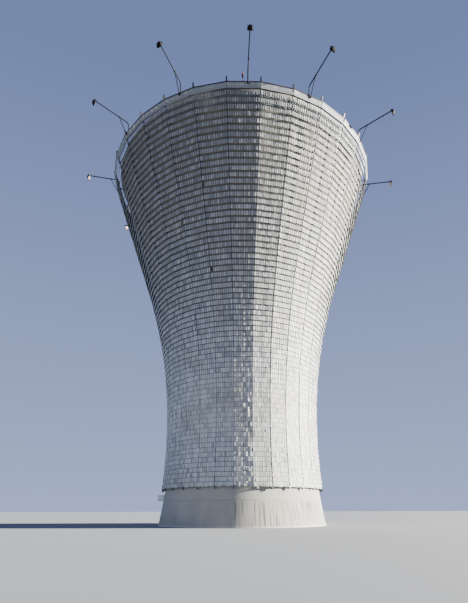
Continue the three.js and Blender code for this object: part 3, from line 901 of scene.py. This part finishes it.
def housing_shell():
    """The housing: a rounded outline carried from front to back while it narrows and rises,
    so that it is deep at the top and thin at the bottom."""
    depth = np.array([-0.1, -0.075, 0.0, 0.06, 0.1, 0.113])
    half_width = np.array([0.2, 0.2, 0.185, 0.15, 0.105, 0.07])
    half_height = np.array([0.19, 0.188, 0.16, 0.12, 0.08, 0.05])
    rise = np.array([0.0, 0.002, 0.025, 0.055, 0.075, 0.08])
    path = np.stack([depth, 0 * depth, rise], axis=-1)
    scale = np.stack([half_width, half_height], axis=-1)
    return carry(rounded_outline(2, 2, 5, 32), path, (0, 1, 0), scale)


def housing_rim():
    """The flat frame round the glass: the lamp's outline times each share of a small
    section, at that point's depth."""
    share = np.array([1.0, 1.0, 0.9, GLASS_SHARE, GLASS_SHARE, 0.98])
    depth = np.array([-0.11, -0.082, -0.082, -0.1, -0.115, -0.115])
    across = rounded_outline(LAMP_WIDTH, LAMP_HEIGHT, 7, 40)[:, None] * share[None, :, None]
    depth = np.broadcast_to(depth, across.shape[:2])
    points = np.stack([depth, across[..., 0], across[..., 1]], axis=-1)
    return outward(points.reshape(-1, 3), grid_quads(*across.shape[:2], closed=True))


def lamp_housing():
    """The cast housing, its front frame, its cooling fins, and the strap that holds it."""
    fin_places = (np.arange(FINS) - (FINS - 1) / 2) * FIN_PITCH
    fins = [block((FIN_FRONT, y - FIN_HALF_WIDTH, FIN_FOOT), (FIN_BACK, y + FIN_HALF_WIDTH, FIN_TOP),
                  FIN_ROUNDING) for y in fin_places]
    corners = [[0, side * STRAP_REACH, z] for side, z in
               ((-1, STRAP_FOOT), (-1, STRAP_TOP), (1, STRAP_TOP), (1, STRAP_FOOT))]
    section = rounded_outline(STRAP_WIDTH, STRAP_THICKNESS, 8, 12)
    strap = carry(section, rounded_path(corners, STRAP_ROUNDING), (1, 0, 0))
    pivots = [bolt((0, side * STRAP_REACH, 0), (0, side, 0)) for side in (-1, 1)]
    return gather([housing_shell(), housing_rim(), *fins, strap, *pivots])


def lamp_face():
    """The front glass: a shallow dome inside the frame, thickest in the middle."""
    share = np.array([1.0, 0.98, 0.85, 0.6, 0.3])
    depth = np.array([-0.101, -0.106, -0.109, -0.111, -0.112])
    path = np.stack([depth, 0 * depth, 0 * depth], axis=-1)
    outline = rounded_outline(LAMP_WIDTH * GLASS_SHARE, LAMP_HEIGHT * GLASS_SHARE, 7, 32)
    return carry(outline, path, (0, 1, 0), np.stack([share, share], axis=-1))


def arm_and_lamp(clamp_middle, plate_face, offset):
    """The bent arm from its clamp to its tip, the brace with its collar, and the lamp."""
    foot = clamp_middle / math.cos(offset)
    knee = np.array([foot, 0, ARM_KNEE_HEIGHT])
    tip = np.array([ARM_TIP[0], 0, ARM_TIP[1]])
    along = (tip - knee) / np.linalg.norm(tip - knee)
    path = rounded_path([[foot, 0, ARM_FOOT_HEIGHT], knee, tip], ARM_KNEE_ROUNDING)
    brace_foot_radius = (plate_face + BRACE_STANDOFF) / math.cos(offset)
    brace_foot = np.array([brace_foot_radius, 0, BRACE_FOOT_HEIGHT])
    brace_top = knee + along * (BRACE_TOP_RADIUS - foot) / along[0]
    half_collar = along * COLLAR_LENGTH / 2
    collar = tube([brace_top - half_collar, brace_top + half_collar], COLLAR_RADIUS)
    points, quads = lamp_housing()
    return gather([tube(path, ARM_RADIUS), tube([brace_foot, brace_top], BRACE_RADIUS, count=14),
                   collar, (lamp_place(points), quads)])


def bolt_places(half_width, half_height):
    """The corners of a rectangle round 0, for four bolts."""
    return [(a, b) for a in (-half_width, half_width) for b in (-half_height, half_height)]


def clamp_and_pad(clamp_middle, plate_face, offset):
    """The arm's clamp inside the top rail and the brace's pad on the plates, each with four
    bolts, and the pad's lug. They lie square to the facet, not to the arm."""
    y = clamp_middle * math.tan(offset)
    low = (clamp_middle - CLAMP_DEPTH / 2, y - CLAMP_WIDTH / 2, RIM_HEIGHT - TOP_RAIL_HEIGHT)
    high = (clamp_middle + CLAMP_DEPTH / 2 - CLAMP_GAP, y + CLAMP_WIDTH / 2, RIM_HEIGHT)
    bolts = [bolt((clamp_middle + dx, y + dy, RIM_HEIGHT)) for dx, dy in bolt_places(*CLAMP_BOLTS)]
    shapes = [block(low, high), *bolts]

    y = plate_face * math.tan(offset)
    pad_front = plate_face + PAD_THICKNESS
    for front, half_width, half_height in ((pad_front, PAD_SIZE / 2, PAD_SIZE / 2),
                                           (plate_face + LUG_DEPTH, LUG_HALF_WIDTH, LUG_HALF_HEIGHT)):
        shapes.append(block((plate_face, y - half_width, BRACE_FOOT_HEIGHT - half_height),
                            (front, y + half_width, BRACE_FOOT_HEIGHT + half_height)))
    shapes += [bolt((pad_front, y + dy, BRACE_FOOT_HEIGHT + dz), (1, 0, 0))
               for dy, dz in bolt_places(*PAD_BOLTS)]
    return gather(shapes)


def floodlight(azimuth, number):
    """One floodlight with its arm, brace, clamp and pad, and the lamp's glass."""
    facet_azimuth = FACET_DEG * round(azimuth / FACET_DEG)
    offset = math.radians(azimuth - facet_azimuth)
    clamp_middle = float(curve_radius(RIM_HEIGHT)) - TOP_RAIL_DEPTH - CLAMP_DEPTH / 2
    plate_face = float(curve_radius(BRACE_FOOT_HEIGHT + PAD_SIZE / 2))
    on_arm = turn_shape(arm_and_lamp(clamp_middle, plate_face, offset), azimuth)
    on_facet = turn_shape(clamp_and_pad(clamp_middle, plate_face, offset), facet_azimuth)
    dress(f"floodlight_{number:02d}", gather([on_arm, on_facet]), paint,
          [f"floodlight_arm_{number:02d}"], smooth_deg=35)
    points, quads = lamp_face()
    face = (turn(lamp_place(points), azimuth), quads)
    dress(f"floodlight_glass_{number:02d}", face, glass, smooth_deg=35)


# The obstruction light
def round_on_post(radii, levels):
    """A surface of revolution about the post: a circle of each radius at each level."""
    radii = np.asarray(radii, float)
    path = np.stack([np.full(len(levels), top_rail_middle()), 0 * radii, levels], axis=-1)
    return carry(rounded_outline(2, 2, 2, 32), path, (0, 1, 0), np.stack([radii, radii], axis=-1))


def beacon_fitting():
    """A flange with four bolts, a thin post, and a body with a lip at its foot and its head
    and a groove between."""
    flange = round_on_post([0.06, 0.06, 0.056], [BEACON_SEAT, BEACON_SEAT + 0.016, BEACON_SEAT + 0.02])
    post = round_on_post([POST_RADIUS, POST_RADIUS], [BEACON_SEAT, POST_TOP])
    body_levels = BODY_FOOT + np.array([0, 0.01, 0.025, 0.105, 0.115, 0.145, 0.155, 0.185, 0.195])
    body_radii = [0.055, 0.07, 0.075, 0.075, 0.069, 0.069, 0.075, 0.075, 0.06]
    bolts = [bolt((top_rail_middle() + BEACON_BOLT_CIRCLE * math.cos(angle),
                   BEACON_BOLT_CIRCLE * math.sin(angle), BEACON_BOLT_LEVEL))
             for angle in (math.pi / 4 + index * math.pi / 2 for index in range(4))]
    return gather([flange, post, round_on_post(body_radii, body_levels), *bolts])


def beacon_dome():
    """The ribbed red dome. Its radius falls with the share of its height as the square root
    of 1 - share^2.6, times 1 plus a small cosine wave for the light-bending ribs."""
    share = np.linspace(0, 0.98, 33)
    ribs = 1 + DOME_RIB_SHARE * np.cos(share * 2 * DOME_RIBS * math.pi)
    return round_on_post(DOME_RADIUS * np.sqrt(1 - share ** 2.6) * ribs, DOME_FOOT + DOME_HEIGHT * share)


def obstruction_light():
    """The fitting on the top rail, and the dome on it."""
    dress("obstruction_light_fitting", turn_shape(beacon_fitting(), BEACON_AZIMUTH), paint,
          ["obstruction_light_post"], smooth_deg=35)
    dress("obstruction_light_lens", turn_shape(beacon_dome(), BEACON_AZIMUTH), lens,
          ["obstruction_light_dome"], smooth_deg=60)


for panel in range(PANELS):
    hanging_plates(panel)
    row_rails(panel)
    top_row_strip(panel)
    ribs_and_rails(panel)
round_base()
roof_upstand()
for index, azimuth in enumerate(ARM_AZIMUTHS):
    floodlight(azimuth, index + 1)
obstruction_light()

# The solids get their finishes by the start of their names, and the rest are concrete
# The walls and floor behind the screen take the concrete painted dark as painted shade
FINISHES = {
    "side_canopy": white, "shaft_wall": painted_shade_concrete, "tank_wall": painted_shade_concrete, "tank_floor": painted_shade_concrete,
    "rib_frame": rib_steel_with_joint_shade, "screen_panel": aluminium, "floodlight_arm": paint,
    "obstruction_light_post": paint, "obstruction_light_dome": lens,
}
for name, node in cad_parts.items():
    finishes = [finish for start, finish in FINISHES.items() if name.startswith(start)]
    node.data.materials.clear()
    node.data.materials.append(finishes[0] if finishes else concrete)


def pointing(azimuth, elevation=0.0):
    """The unit vector from the axis to an azimuth and an elevation, both in radians."""
    return Vector((math.sin(azimuth) * math.cos(elevation), -math.cos(azimuth) * math.cos(elevation),
                   math.sin(elevation)))


def studio_ground():
    """A wide grey floor just under the tower."""
    corners = np.array([[-1, -1, 0], [1, -1, 0], [1, 1, 0], [-1, 1, 0]], float) * FLOOR_HALF
    mesh = mesh_of("floor", (corners + [0, 0, FLOOR_LEVEL], np.array([[0, 1, 2, 3]])))
    mesh.materials.append(studio_floor)
    floor = link(bpy.data.objects.new("floor", mesh))


def sky():
    """A blue surround that is paler towards the horizon."""
    world = bpy.data.worlds.new("studio")
    world.use_nodes = True
    surround = world.node_tree.nodes["Background"]
    surround.inputs["Strength"].default_value = SKY_STRENGTH
    direction = add(world.node_tree, "ShaderNodeTexCoord", "Generated")
    rise = add(world.node_tree, "ShaderNodeSeparateXYZ", "Z", {"Vector": direction})
    height_share = add(world.node_tree, "ShaderNodeMapRange", "Result", {"Value": rise, "From Max": 0.7})
    backdrop = add(world.node_tree, "ShaderNodeMix", 2,
                   {0: height_share, 6: linear("#8E9CC1"), 7: linear("#5C6B96")}, data_type="RGBA")
    world.node_tree.links.new(backdrop, surround.inputs["Color"])
    bpy.context.scene.world = world


def fill_light():
    """A low soft light from the front left, which fades as the tower rises."""
    data = bpy.data.lights.new("fill", "AREA")
    data.shape = "RECTANGLE"
    data.size, data.size_y = FILL_SIZE
    data.energy = FILL_POWER
    data.spread = math.radians(FILL_SPREAD_DEG)
    data.color = (0.66, 0.8, 1.0)
    fill = link(bpy.data.objects.new("fill", data))
    away = pointing(math.radians(FILL_AZIMUTH)) * FILL_DISTANCE
    fill.location = away + Vector((0, 0, FILL_HEIGHT))
    aim = away + Vector((0, 0, FILL_AIM_HEIGHT))
    fill.rotation_euler = aim.to_track_quat("Z", "Y").to_euler()
    fill.visible_camera = False


def key_light():
    """The low sun from the right."""
    data = bpy.data.lights.new("key", "SUN")
    data.energy = KEY_STRENGTH
    data.angle = math.radians(KEY_ANGLE_DEG)
    data.color = (1.0, 0.95, 0.85)
    key = link(bpy.data.objects.new("key", data))
    towards = pointing(math.radians(KEY_AZIMUTH), math.radians(KEY_ELEVATION))
    key.rotation_euler = towards.to_track_quat("Z", "Y").to_euler()


def camera():
    """The camera at its azimuth and distance, tipped up by its pitch and turned by its roll,
    with the axis and the horizon where the photograph has them."""
    data = bpy.data.cameras.new("camera")
    data.sensor_width = SENSOR_SIZE
    data.lens = FOCAL_PIXELS * SENSOR_SIZE / FRAME_HEIGHT
    data.shift_x = (FRAME_WIDTH / 2 - AXIS_X) / FRAME_HEIGHT
    data.shift_y = (HORIZON_Y - FRAME_HEIGHT / 2) / FRAME_HEIGHT
    data.clip_end = 2000
    turned = math.radians(CAMERA_AZIMUTH)
    level = Vector((-math.sin(turned), math.cos(turned), 0))
    right = Vector((math.cos(turned), math.sin(turned), 0))
    ahead = level * math.cos(CAMERA_PITCH) + Vector((0, 0, math.sin(CAMERA_PITCH)))
    upward = Vector((0, 0, math.cos(CAMERA_PITCH))) - level * math.sin(CAMERA_PITCH)
    across = right * math.cos(CAMERA_ROLL) + upward * math.sin(CAMERA_ROLL)
    upright = upward * math.cos(CAMERA_ROLL) - right * math.sin(CAMERA_ROLL)
    axes = Matrix((across, upright, -ahead)).transposed().to_4x4()
    place = -level * CAMERA_DISTANCE + Vector((0, 0, CAMERA_HEIGHT))
    viewpoint = link(bpy.data.objects.new("camera", data))
    viewpoint.matrix_world = Matrix.Translation(place) @ axes
    bpy.context.scene.camera = viewpoint


studio_ground()
sky()
fill_light()
key_light()
camera()
